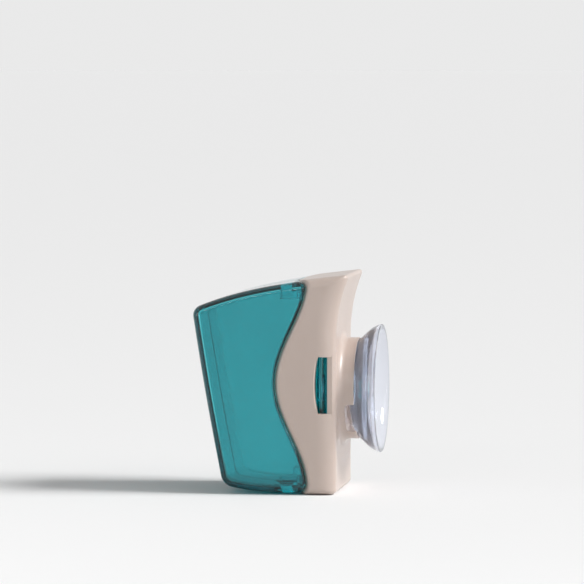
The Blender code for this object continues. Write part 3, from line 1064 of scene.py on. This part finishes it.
BEIGE = MouldedPlastic("warm_beige_plastic", (0.505, 0.418, 0.372), (0.475, 0.388, 0.342))
TEAL = ClearPlastic(
    "clear_teal_plastic",
    colour=(0.13, 0.575, 0.615),
    shade=(0.12, 0.55, 0.59),
    roughness=(0.02, 0.04),
    depth_colour=(0.0, 0.94, 0.955),
    depth_density=240.0,
)
CLEAR = ClearPlastic(
    "clear_soft_plastic",
    colour=(0.88, 0.90, 0.96),
    shade=(0.85, 0.87, 0.94),
    roughness=(0.05, 0.10),
    depth_colour=(0.66, 0.76, 0.92),
    depth_density=45.0,
    clearness=0.93,
    ior=1.45,
)
STEEL = DrawnSteel("drawn_steel_wire")


# Sub-assemblies


@dataclass(frozen=True)
class Hinges:
    """Places and sizes that the doors' barrels and the body's seats for them share."""

    form: CoverForm
    body_wall: float = 2.0 * MM
    door_wall: float = 1.5 * MM
    door_sink: float = 0.25 * MM
    running_gap: float = 0.3 * MM
    barrel: float = 1.4 * MM
    pin: float = 0.6 * MM
    pin_fit: float = 0.1 * MM
    pin_in_barrel: float = 4.0 * MM
    pin_in_roof: float = 1.6 * MM
    pin_in_floor: float = 1.0 * MM
    hole_end_gap: float = 0.25 * MM
    arm_thick: float = 1.8 * MM
    arm_roof_gap: float = 0.35 * MM
    embed: float = 0.45 * MM
    neck_y: float = -19.5 * MM
    neck_radius: float = 5.5 * MM
    neck_edge: float = 0.3 * MM
    neck_past: tuple[float, float] = (0.6 * MM, 0.03 * MM)
    neck_steps: int = 72

    @property
    def axis(self) -> tuple[float, float]:
        """Plan place of the +X hinge's axis."""
        across = self.form.half_width - self.body_wall - self.running_gap - self.barrel
        return across, self.form.rear - self.body_wall - self.running_gap - self.barrel

    @property
    def upper(self) -> tuple[float, float]:
        """Low and high of the upper arm."""
        roof = self.form.top_z(self.form.seam_end - self.form.seam_bow) - self.body_wall
        return roof - self.arm_roof_gap - self.arm_thick, roof - self.arm_roof_gap

    @property
    def lower(self) -> tuple[float, float]:
        """Low and high of the lower arm."""
        floor = self.form.bottom + self.body_wall + self.running_gap
        return floor, floor + self.arm_thick

    def neck_cutter(self) -> bpy.types.Object:
        """Make the cutter for the round hole in the floor, flared at both of its faces.

        Returns:
            The cutter.
        """
        edge, (below, above) = self.neck_edge, self.neck_past
        low, high = self.form.bottom, self.form.bottom + self.body_wall
        profile = [
            (self.neck_radius + edge + below, low - below),
            (self.neck_radius, low + edge),
            (self.neck_radius, high - edge),
            (self.neck_radius + edge, high + above),
        ]
        return upright_turned("neck", 0.0, self.neck_y, profile, self.neck_steps)


@dataclass(frozen=True)
class DoorPair:
    """The two clear doors, each one moulding of half shell, arms, barrel and closing paddle."""

    form: CoverForm
    hinges: Hinges
    finish: ClearPlastic
    meeting_gap: float = 0.3 * MM
    rim_round: float = 0.3 * MM
    seam_round: float = 1.1 * MM
    arm_span: float = 4.2 * MM
    arm_reach: float = 9.5 * MM
    arm_ends: tuple[tuple[float, float], ...] = ((0.6, -0.5), (-0.95, 0.0))
    arm_inside: tuple[tuple[float, float], ...] = ((1.0, 1.0), (1.0, 0.45), (0.6, 0.2))
    gusset_start: float = 6.6 * MM
    gusset_inset: float = 0.25 * MM
    web: float = 5.6 * MM
    web_stations: tuple[float, ...] = (0.36, 0.52, 0.68, 0.84, 1.0)
    web_steps: int = 8
    swing_gap: float = 0.25 * MM
    swing_deg: float = 40.0
    paddle_length: float = 7.2 * MM
    paddle_thick: float = 1.4 * MM
    paddle_z: tuple[float, float] = (-12.0 * MM, 14.0 * MM)
    paddle_steps: int = 8
    barrel_edge: float = 0.15 * MM
    arm_edge: float = 0.12 * MM
    paddle_edge: float = 0.3 * MM

    def half_shell(self) -> bpy.types.Object:
        """Make the +X half shell.

        Returns:
            The shell.
        """
        form, wall, sink = self.form, self.hinges.door_wall, self.hinges.door_sink
        outside = form.outline(sink + form.facet_depth, 0.0, form.corner_radii)
        inside = form.outline(sink + wall, 0.0, form.inner_radii(wall))
        width, middle, fine = form.half_width - form.facet_depth, self.meeting_gap / 2, self.rim_round
        outer = Skin(form, outside, width, Part.DOOR, form.edge_round, self.seam_round, middle, fine)
        width, inner_round = form.half_width - wall, form.edge_round - wall
        inner = Skin(form, inside, width, Part.DOOR, inner_round, fine, middle, fine)
        return shell("right_door_shell", outer, inner)

    def swing_limit(self, radius: float) -> tuple[float, float]:
        """Place a point of the arm so that it clears the body's wall when the door is open.

        Args:
            radius: Its distance from the hinge's axis.

        Returns:
            The point in plan.
        """
        hinges = self.hinges
        wall = self.form.half_width - hinges.body_wall - hinges.axis[0] - self.swing_gap
        turn = math.asin(min(1.0, wall / radius)) - math.radians(self.swing_deg)
        return hinges.axis[0] + radius * math.sin(turn), hinges.axis[1] - radius * math.cos(turn)

    def arm_plan(self) -> Plan:
        """Draw an arm from the barrel, round the body's wall, to the inside of the door.

        Returns:
            Its outline in plan.
        """
        x, y = self.hinges.axis
        barrel = self.hinges.barrel
        wall = self.form.half_width - self.hinges.door_wall + self.hinges.embed
        start, end = ((x + barrel * across, y + barrel * deep) for across, deep in self.arm_ends)
        plan = [start] + [self.swing_limit(self.web * share) for share in self.web_stations]
        first = math.atan2(plan[-1][1] - y, plan[-1][0] - x)
        last = -math.acos((wall - x) / self.web)
        for i in range(1, self.web_steps + 1):
            turn = first + (last - first) * i / self.web_steps
            plan.append((x + self.web * math.cos(turn), y + self.web * math.sin(turn)))
        plan.append((wall, y - self.arm_reach))
        plan += [(x - self.arm_span * across, y - self.arm_reach * deep) for across, deep in self.arm_inside]
        return plan + [end]

    def hinge_gear(self) -> bpy.types.Object:
        """Make what is inside the +X door: barrel, two arms with their gussets, and the paddle.

        Returns:
            The joined solid.
        """
        hinges, form = self.hinges, self.form
        x, y = hinges.axis
        (low, arm_low), (arm_high, high) = hinges.lower, hinges.upper
        edge = self.barrel_edge
        profile = [(hinges.barrel - edge, low), (hinges.barrel, low + edge)]
        profile += [(hinges.barrel, high - edge), (hinges.barrel - edge, high)]
        gear = upright_turned("gear", x, y, profile)
        wall = form.half_width - hinges.door_wall + hinges.embed - self.gusset_inset
        inner = x - self.arm_span + self.gusset_inset
        front, rear = y - self.arm_reach + self.gusset_inset, y - self.gusset_start
        gusset = [(inner, front), (wall, front), (wall, rear), (inner, rear)]
        inset = hinges.door_sink + hinges.door_wall - hinges.embed
        roof = form.top_z(y - self.arm_reach) - inset
        floor = form.bottom_z(y - self.arm_reach) + inset
        pieces = [
            bevelled(prism("arm", self.arm_plan(), low, arm_low), self.arm_edge, segments=2),
            bevelled(prism("arm", self.arm_plan(), arm_high, high), self.arm_edge, segments=2),
            prism("gusset", gusset, arm_high + hinges.embed, roof),
            prism("gusset", gusset, floor, arm_low - hinges.embed),
        ]
        half = self.paddle_thick / 2
        tip = x - self.paddle_length + half
        plan = [(x, y - half), (x, y + half)]
        for i in range(self.paddle_steps + 1):
            turn = math.pi / 2 + math.pi * i / self.paddle_steps
            plan.append((tip + half * math.cos(turn), y + half * math.sin(turn)))
        pieces.append(bevelled(prism("paddle", plan, *self.paddle_z), self.paddle_edge))
        for piece in pieces:
            gear = combine(gear, piece, Cut.JOIN)
        return gear

    def build(self) -> list[bpy.types.Object]:
        """Make, dress and hang both doors.

        Returns:
            The two doors.
        """
        hinges = self.hinges
        x, y = hinges.axis
        right = combine(self.half_shell(), hinges.neck_cutter(), Cut.REMOVE)
        right = combine(right, self.hinge_gear(), Cut.JOIN)
        top = hinges.upper[1]
        foot = hinges.lower[0]
        reach = hinges.pin_in_barrel + hinges.hole_end_gap
        for low, high in ((top - reach, top + hinges.embed), (foot - hinges.embed, foot + reach)):
            hole = prism("hole", circle(x, y, hinges.pin + hinges.pin_fit), low, high)
            right = combine(right, hole, Cut.REMOVE)
        right.name = "clear_right_door"
        left = mirrored(right, "clear_left_door")
        material = self.finish.build()
        for door, node, leaf in ((right, "right_door", "right_leaf"), (left, "left_door", "left_leaf")):
            dress(door, material)
            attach(door, leaf)
            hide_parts(node)
        return [right, left]


@dataclass(frozen=True)
class CupAndCollar:
    """The suction cup, and the shape of the collar that backs it."""

    form: CoverForm
    hinges: Hinges
    radius: float
    finish: ClearPlastic
    rim: float = 0.8 * MM
    dome_insets: tuple[tuple[float, float], ...] = (
        (0.0, -0.4 * MM),
        (0.45 * MM, -1.5 * MM),
        (1.25 * MM, -2.8 * MM),
        (2.95 * MM, -4.6 * MM),
        (4.35 * MM, -5.8 * MM),
        (5.85 * MM, -6.5 * MM),
        (8.05 * MM, -7.0 * MM),
    )
    root: tuple[float, float] = (3.6 * MM, -7.6 * MM)
    dome_steps: int = 5
    rim_edge: float = 0.12 * MM
    hollow: float = 4.9 * MM
    hollow_steps: int = 26
    groove_depth: float = 0.05 * MM
    groove_pace: float = 44.0
    groove_end: float = 0.62
    groove_fade: float = 0.2
    stem: float = 2.6 * MM
    stem_fit: float = 0.3 * MM
    bulb_over: float = 0.5 * MM
    bulb_length: float = 2.3 * MM
    bulb_shoulder: float = 0.15
    bulb_steps: int = 8
    collar: float = 11.9 * MM
    collar_rim: float = 0.5 * MM
    collar_rim_edge: float = 0.15 * MM
    collar_gap: float = 0.5 * MM
    collar_bore: float = 8.9 * MM
    collar_fillet: float = 1.7 * MM
    collar_steps: int = 6
    notch_width: float = 8.0 * MM
    notch_reach: tuple[float, float] = (0.7, 1.3)
    notch_floor: float = -7.5 * MM
    notch_round: float = 0.8 * MM
    notch_deg: float = 35.0

    def dome(self) -> Plan:
        """Radii and depths of the dome, from the rim to the stem."""
        return [(self.radius - inset, y) for inset, y in self.dome_insets]

    def dome_y(self, radius: float) -> float:
        """Depth of the dome at a radius.

        Args:
            radius: Distance from the axis.

        Returns:
            The depth there.
        """
        points = self.dome()
        for outer, inner in zip(points, points[1:]):
            if inner[0] <= radius <= outer[0]:
                share = (outer[0] - radius) / (outer[0] - inner[0])
                return outer[1] + (inner[1] - outer[1]) * share
        return points[-1][1]

    def collar_ring(self) -> bpy.types.Object:
        """Make the ring behind the cup, hollowed to the dome and notched for two fingers.

        Returns:
            The ring.
        """
        wall, seat = self.form.rear, self.form.rear - self.hinges.embed
        rim_y = self.dome_y(self.collar) - self.collar_gap
        edge = self.collar_rim_edge
        profile = [(self.collar + self.collar_fillet, seat)]
        for turn in quarter(self.collar_steps):
            away = self.collar_fillet * (1.0 - math.sin(turn))
            profile.append((self.collar + away, wall + self.collar_fillet * (1.0 - math.cos(turn))))
        profile += [(self.collar, rim_y - edge), (self.collar - edge, rim_y)]
        inner_rim = self.collar - self.collar_rim
        for i in range(self.collar_steps + 1):
            radius = inner_rim + (self.collar_bore - inner_rim) * i / self.collar_steps
            profile.append((radius, self.dome_y(radius) - self.collar_gap))
        profile.append((self.collar_bore, seat))
        ring = turned("collar", profile)
        near, far = (share * self.collar for share in self.notch_reach)
        half = 0.5 * self.notch_width
        reach = [(far, -half), (far, half), (near, half), (near, -half)]
        for side in (-1, 1):
            turn = -math.radians(self.notch_deg)
            along = Vector((side * math.cos(turn), 0.0, math.sin(turn)))
            across = Vector((-along.z, 0.0, along.x))
            layers = []
            for y in (self.notch_floor, 0.0):
                level = Vector((0.0, y, 0.0))
                layers.append([level + along * out + across * wide for out, wide in reach])
            notch = bevelled(stacked("notch", layers), self.notch_round, segments=4)
            ring = combine(ring, notch, Cut.REMOVE)
        return ring

    def build(self) -> bpy.types.Object:
        """Make and dress the cup.

        Returns:
            The cup.
        """
        inside = self.form.rear - self.hinges.body_wall - self.hinges.running_gap
        bulb = self.stem + self.stem_fit + self.bulb_over
        profile = [(0.0, inside - self.bulb_length)]
        for turn in quarter(self.bulb_steps)[1:]:
            share = self.bulb_shoulder + (1.0 - self.bulb_shoulder) * math.cos(turn)
            profile.append((bulb * math.sin(turn), inside - self.bulb_length * share))
        profile += [(bulb, inside), (self.stem, inside), (self.stem, self.root[1] - self.stem_fit)]
        profile += soft_curve([self.root] + self.dome()[::-1], self.dome_steps)
        edge, hollow = self.rim_edge, self.radius - self.rim
        profile += [(self.radius, -edge), (self.radius - edge, 0.0), (hollow, 0.0)]
        for turn in quarter(self.hollow_steps)[1:-1]:
            fade = smooth_step((self.groove_end - turn) / self.groove_fade)
            groove = self.groove_depth * max(0.0, math.cos(turn * self.groove_pace)) * fade
            profile.append(((hollow - groove) * math.cos(turn), -self.hollow * math.sin(turn) - groove))
        profile.append((0.0, -self.hollow))
        cup = turned("clear_suction_cup", profile)
        dress(cup, self.finish.build())
        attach(cup, "housing")
        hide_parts("suction_cup")
        return cup


@dataclass(frozen=True)
class Housing:
    """The moulded body: rear shell, side windows, hinge seats and the cup's collar."""

    form: CoverForm
    hinges: Hinges
    cup: CupAndCollar
    finish: MouldedPlastic
    rim_round: float = 0.45 * MM
    inner_edge: float = 0.35 * MM
    boss: float = 1.75 * MM
    boss_edge: float = 0.2 * MM
    slot_front: float = -13.3 * MM
    slot_bow: float = 0.75 * MM
    slot_rear: float = -11.1 * MM
    slot_z: tuple[float, float] = (-5.0 * MM, 8.2 * MM)
    slot_steps: int = 18
    slot_round: float = 0.22 * MM
    slot_round_depth: float = 0.7
    slot_round_steps: int = 4
    channel_depth: float = 0.9 * MM
    past: float = 2.0 * MM
    hole_past: float = 1.0 * MM

    def rear_shell(self) -> bpy.types.Object:
        """Make the shell behind the seam.

        Returns:
            The shell.
        """
        form, wall = self.form, self.hinges.body_wall
        outside = form.outline(form.facet_depth, form.lip_flare, form.corner_radii)
        inside = form.outline(wall, 0.0, form.inner_radii(wall))
        width, rim = form.half_width - form.facet_depth, self.rim_round
        outer = RearSkin(form, outside, width, Part.BODY, form.edge_round, rim)
        inner = Skin(form, inside, form.half_width - wall, Part.BODY, self.inner_edge, rim)
        return shell("beige_body", outer, inner)

    def window(self) -> Plan:
        """Draw a side window in depth and height.

        Returns:
            Its outline, bowed at the front and straight at the rear.
        """
        low, high = self.slot_z
        outline = [(self.slot_rear, low), (self.slot_rear, high)]
        for i in range(self.slot_steps + 1):
            z = high + (low - high) * i / self.slot_steps
            share = (2 * z - low - high) / (high - low)
            outline.append((self.slot_front - self.slot_bow * (1.0 - share ** 2), z))
        return outline

    def side_cutter(self, outline: Plan, side: int, depth: float) -> bpy.types.Object:
        """Make a cutter that goes in through a side wall, flared at the surface to round the edge.

        Args:
            outline: The opening, in depth and height.
            side: 1 for the +X side and -1 for the other.
            depth: How far in it goes.

        Returns:
            The cutter.
        """
        centre = Vector((sum(y for y, _ in outline), sum(z for _, z in outline))) / len(outline)
        edge = self.slot_round
        stations = [(-self.past, edge), (0.0, edge)]
        for turn in quarter(self.slot_round_steps)[1:]:
            stations.append((edge * math.sin(turn), edge * (1.0 - math.sin(turn)) * self.slot_round_depth))
        stations.append((depth, 0.0))
        layers = []
        for inward, grow in stations:
            layer = []
            for y, z in outline:
                away = Vector((y, z)) - centre
                moved = Vector((y, z)) + Vector((math.copysign(grow, away.x), math.copysign(grow, away.y)))
                layer.append(Vector((side * (self.form.half_width - inward), moved.x, moved.y)))
            layers.append(layer)
        return stacked("side_cutter", layers)

    def build(self) -> bpy.types.Object:
        """Make and dress the body.

        Returns:
            The body.
        """
        form, hinges = self.form, self.hinges
        x, y = hinges.axis
        body = combine(self.rear_shell(), self.cup.collar_ring(), Cut.JOIN)
        roof_gap = hinges.upper[1] + hinges.running_gap
        for side in (-1, 1):
            top, edge = form.top_z(y) - hinges.body_wall + hinges.embed, self.boss_edge
            profile = [(self.boss - edge, roof_gap), (self.boss, roof_gap + edge), (self.boss, top)]
            body = combine(body, upright_turned("boss", side * x, y, profile), Cut.JOIN)
            low, high = self.slot_z
            through = hinges.body_wall + hinges.embed
            body = combine(body, self.side_cutter(self.window(), side, through), Cut.REMOVE)
            start, end = self.slot_rear - hinges.embed, form.rear + self.past
            channel = [(start, low), (start, high), (end, high), (end, low)]
            body = combine(body, self.side_cutter(channel, side, self.channel_depth), Cut.REMOVE)
            roof = roof_gap + hinges.pin_in_roof + hinges.hole_end_gap
            inner_floor = form.bottom + hinges.body_wall
            floor = inner_floor - hinges.pin_in_floor - hinges.hole_end_gap
            bore = circle(side * x, y, hinges.pin + hinges.pin_fit)
            for low, high in ((roof_gap - self.hole_past, roof), (floor, inner_floor + self.hole_past)):
                body = combine(body, prism("hole", bore, low, high), Cut.REMOVE)
        stem = self.cup.stem + self.cup.stem_fit
        start, end = form.rear - hinges.body_wall - hinges.embed, form.rear + hinges.embed
        bore = turned("bore", [(0.0, start), (stem, start), (stem, end), (0.0, end)])
        body = combine(body, bore, Cut.REMOVE)
        body = combine(body, hinges.neck_cutter(), Cut.REMOVE)
        dress(body, self.finish.build())
        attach(body, "housing")
        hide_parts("body")
        return body


@dataclass(frozen=True)
class HingePins:
    """The four hinge pins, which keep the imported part's shape."""

    finish: DrawnSteel
    nodes: tuple[str, ...] = ("upper_right_pin", "lower_right_pin", "upper_left_pin", "lower_left_pin")

    def build(self) -> list[bpy.types.Object]:
        """Dress the pins.

        Returns:
            The four pins.
        """
        material = self.finish.build()
        pins = [frame["nodes"][name] for name in self.nodes]
        for pin in pins:
            for slot in pin.material_slots:
                slot.link = "OBJECT"
                slot.material = material
        return pins


# Studio


def aim(item: bpy.types.Object, ahead: Vector) -> None:
    """Turn a lamp or the camera to look along a direction."""
    item.rotation_euler = ahead.to_track_quat("-Z", "Y").to_euler()


@dataclass(frozen=True)
class Lamp:
    """A soft rectangular lamp aimed at the cover."""

    name: str
    place: tuple[float, float, float]
    size: tuple[float, float]
    power: float

    def build(self, target: Vector) -> bpy.types.Object:
        """Hang the lamp.

        Args:
            target: What it is aimed at.

        Returns:
            The lamp.
        """
        light = bpy.data.lights.new(self.name, "AREA")
        light.shape = "RECTANGLE"
        light.size, light.size_y = self.size
        light.energy = self.power
        item = linked(self.name, light)
        item.location = self.place
        item.visible_camera = False
        aim(item, target - Vector(self.place))
        return item


@dataclass(frozen=True)
class Studio:
    """Plain pale floor, soft lamps and the camera of the photograph."""

    foot_z: float
    camera_place: tuple[float, float, float] = (0.9903, 0.1178, 0.0794)
    azimuth_deg: float = 98.0
    pitch_deg: float = 3.26
    lens_mm: float = 262.3
    sensor_mm: float = 36.0
    clip_start: float = 0.01
    floor_gap: float = 0.1 * MM
    floor_half: float = 20.0
    floor_colour: float = 0.84
    floor_roughness: float = 0.9
    backdrop: float = 0.82
    fill: float = 0.28
    sun_from: tuple[float, float, float] = (0.05, 0.95, 0.72)
    sun_power: float = 3.45
    sun_softness_deg: float = 25.0
    lamps: tuple[Lamp, ...] = (
        Lamp("rear_lamp", (0.9, 1.3, 0.9), (0.9, 1.2), 4.0),
        Lamp("front_lamp", (0.18, -0.36, 0.06), (0.16, 0.16), 0.16),
        Lamp("strip_lamp", (1.0, -0.25, 0.5), (0.6, 0.05), 0.6),
        Lamp("left_strip", (0.30, -0.20, 0.03), (0.05, 0.10), 0.05),
        Lamp("right_strip", (0.30, 0.17, 0.03), (0.04, 0.10), 0.06),
    )

    def build_world(self) -> None:
        """Give even fill light, and a pale ground where the camera, glass or gloss sees past the floor."""
        world = bpy.data.worlds.new("studio")
        bpy.context.scene.world = world
        world.use_nodes = True
        tree = world.node_tree
        rays = add_node(tree, "LightPath", {}).outputs
        seen = rays["Is Camera Ray"]
        for kind in ("Is Glossy Ray", "Is Transmission Ray"):
            seen = add_node(tree, "Math", {0: seen, 1: rays[kind]}, operation="MAXIMUM").outputs["Value"]
        ends = {"Value": seen, "To Min": self.fill, "To Max": self.backdrop}
        strength = add_node(tree, "MapRange", ends).outputs["Result"]
        set_inputs(tree, tree.nodes["Background"], {"Color": (1.0, 1.0, 1.0, 1.0), "Strength": strength})

    def build_floor(self) -> bpy.types.Object:
        """Lay the floor under the cover.

        Returns:
            The floor.
        """
        half = self.floor_half
        mesh = bmesh.new()
        corners = [(-half, -half), (half, -half), (half, half), (-half, half)]
        mesh.faces.new([mesh.verts.new((x, y, self.foot_z - self.floor_gap)) for x, y in corners])
        floor = finish_mesh(mesh, "floor")
        material, tree, shader = new_material("pale_floor")
        colour = (*(self.floor_colour,) * 3, 1.0)
        set_inputs(tree, shader, {"Base Color": colour, "Roughness": self.floor_roughness})
        floor.data.materials.append(material)
        floor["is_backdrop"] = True
        return floor

    def build_sun(self) -> bpy.types.Object:
        """Hang a wide, soft sun that lights floor and cover evenly.

        Returns:
            The sun.
        """
        light = bpy.data.lights.new("soft_sun", "SUN")
        light.energy = self.sun_power
        light.angle = math.radians(self.sun_softness_deg)
        sun = linked("soft_sun", light)
        aim(sun, -Vector(self.sun_from))
        return sun

    def build_camera(self) -> bpy.types.Object:
        """Set up the camera of the photograph.

        Returns:
            The camera.
        """
        data = bpy.data.cameras.new("photo_camera")
        data.lens = self.lens_mm
        data.sensor_width = self.sensor_mm
        data.clip_start = self.clip_start
        camera = linked("photo_camera", data)
        camera.location = self.camera_place
        turn, pitch = math.radians(self.azimuth_deg), math.radians(self.pitch_deg)
        aim(camera, Vector((-math.sin(turn), math.cos(turn), -math.tan(pitch))))
        bpy.context.scene.camera = camera
        return camera

    def build(self, target: Vector) -> None:
        """Set up floor, world, lamps and camera.

        Args:
            target: Centre of the cover, which the lamps are aimed at.
        """
        self.build_world()
        self.build_floor()
        self.build_sun()
        for lamp in self.lamps:
            lamp.build(target)
        self.build_camera()
        bpy.context.scene.view_settings.view_transform = "Standard"


def corners_of(bounds: tuple[Vector, Vector]) -> list[list[float]]:
    """Turn two corners into plain lists."""
    return [list(map(float, corner)) for corner in bounds]


def main() -> None:
    """Build the cover and its studio, placing the floor and lamps by the box of the imported part."""
    logging.basicConfig(level=logging.INFO)
    cad_box = corners_of(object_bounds())
    low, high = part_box("body")
    form = CoverForm(half_width=high.x, bottom=low.z)
    hinges = Hinges(form)
    cup = CupAndCollar(form, hinges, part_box("suction_cup")[1].x, CLEAR)
    body = Housing(form, hinges, cup, BEIGE).build()
    LOG.info("body: %d faces", len(body.data.polygons))
    for door in DoorPair(form, hinges, TEAL).build():
        LOG.info("%s: %d faces", door.name, len(door.data.polygons))
    LOG.info("cup: %d faces", len(cup.build().data.polygons))
    LOG.info("pins: %d", len(HingePins(STEEL).build()))
    lowest, highest = (Vector(corner) for corner in cad_box)
    Studio(foot_z=lowest.z).build((lowest + highest) / 2)


if __name__ == "__main__":
    main()
